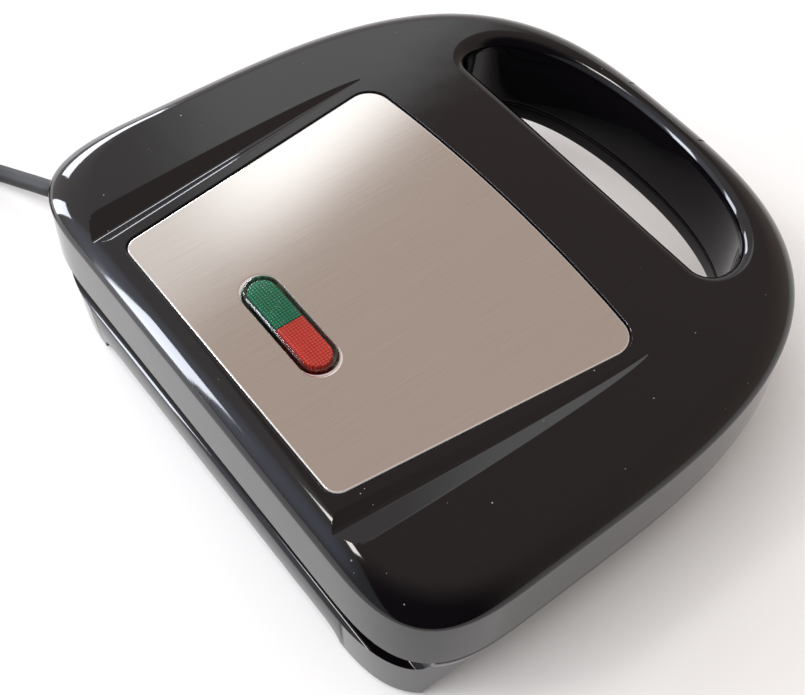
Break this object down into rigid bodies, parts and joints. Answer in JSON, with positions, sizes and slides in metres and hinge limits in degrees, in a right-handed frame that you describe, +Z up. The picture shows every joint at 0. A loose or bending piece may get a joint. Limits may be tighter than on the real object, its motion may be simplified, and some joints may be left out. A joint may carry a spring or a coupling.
{
  "type": "sandwich toaster",
  "caption": "Flat countertop sandwich toaster: hinged black lid with a steel panel and indicator window, looped handle with a latch, pocketed cooking plates and mains lead.",
  "frame": {"origin": "centre of the bounding box of the closed toaster without its free lead, on the surface that its feet stand on", "axes": "+Z up; -Y towards the handle and the latch, +Y towards the hinge; +X towards the side that the lead leaves from"},
  "size_m": [0.4395, 0.3169, 0.0726],
  "materials": {
    "housing": "high-gloss black moulding",
    "steel_panel": "finely brushed stainless steel",
    "lens_clear": "clear moulded lens",
    "lens_green": "tinted transparent moulding with a fine grid",
    "lens_red": "tinted transparent moulding with a fine grid",
    "heat_resistant": "heat-resistant moulding",
    "lamp_glass": "clear glass envelope",
    "cooking_plate": "die-cast aluminium with a dark non-stick coating",
    "heater": "dull metal sheath",
    "reflector": "bright aluminium sheet",
    "zinc_steel": "zinc-plated",
    "latch": "black moulding",
    "foot_rubber": "matte rubber",
    "cord_sheath": "satin black flexible sheath",
    "cord_tie": "black strip",
    "plug_pins": "nickel-plated brass"
  },
  "bodies": {
    "base": {"base_housing": "housing", "lower_plate": "cooking_plate", "lower_heater": "heater", "lower_reflector": "reflector", "thermal_fuse": "heat_resistant", "terminal_block": "heat_resistant", "cable_clamp": "heat_resistant", "foot_pad_front_right": "foot_rubber", "foot_pad_front_left": "foot_rubber", "foot_pad_back_right": "foot_rubber", "foot_pad_back_left": "foot_rubber", "lower_screw_1": "zinc_steel", "lower_screw_2": "zinc_steel", "lower_screw_3": "zinc_steel", "lower_screw_4": "zinc_steel", "hinge_pin_left": "zinc_steel", "hinge_pin_right": "zinc_steel", "strain_relief": "cord_sheath", "power_cord": "cord_sheath", "cord_coil": "cord_sheath", "cord_tie": "cord_tie", "plug_body": "cord_sheath", "plug_pin_1": "plug_pins", "plug_pin_2": "plug_pins"},
    "lid": {"lid_housing": "housing", "steel_panel": "steel_panel", "lens_cover": "lens_clear", "lens_green": "lens_green", "lens_red": "lens_red", "lamp_holder": "heat_resistant", "neon_lamp_green": "lamp_glass", "neon_lamp_red": "lamp_glass", "upper_plate": "cooking_plate", "upper_heater": "heater", "upper_reflector": "reflector", "thermostat": "heat_resistant", "upper_screw_1": "zinc_steel", "upper_screw_2": "zinc_steel", "upper_screw_3": "zinc_steel", "upper_screw_4": "zinc_steel", "latch_pin": "zinc_steel"},
    "latch": {"latch_clip": "latch"}
  },
  "joints": [
    {"name": "lid_hinge", "type": "hinge", "parent": "base", "child": "lid", "pos_m": [0, 0.0998, 0.039], "axis": [-1, 0, 0], "range_deg": [0, 100]},
    {"name": "latch_pivot", "type": "hinge", "parent": "lid", "child": "latch", "pos_m": [0, -0.1046, 0.06], "axis": [-1, 0, 0], "range_deg": [0, 50]}
  ]
}
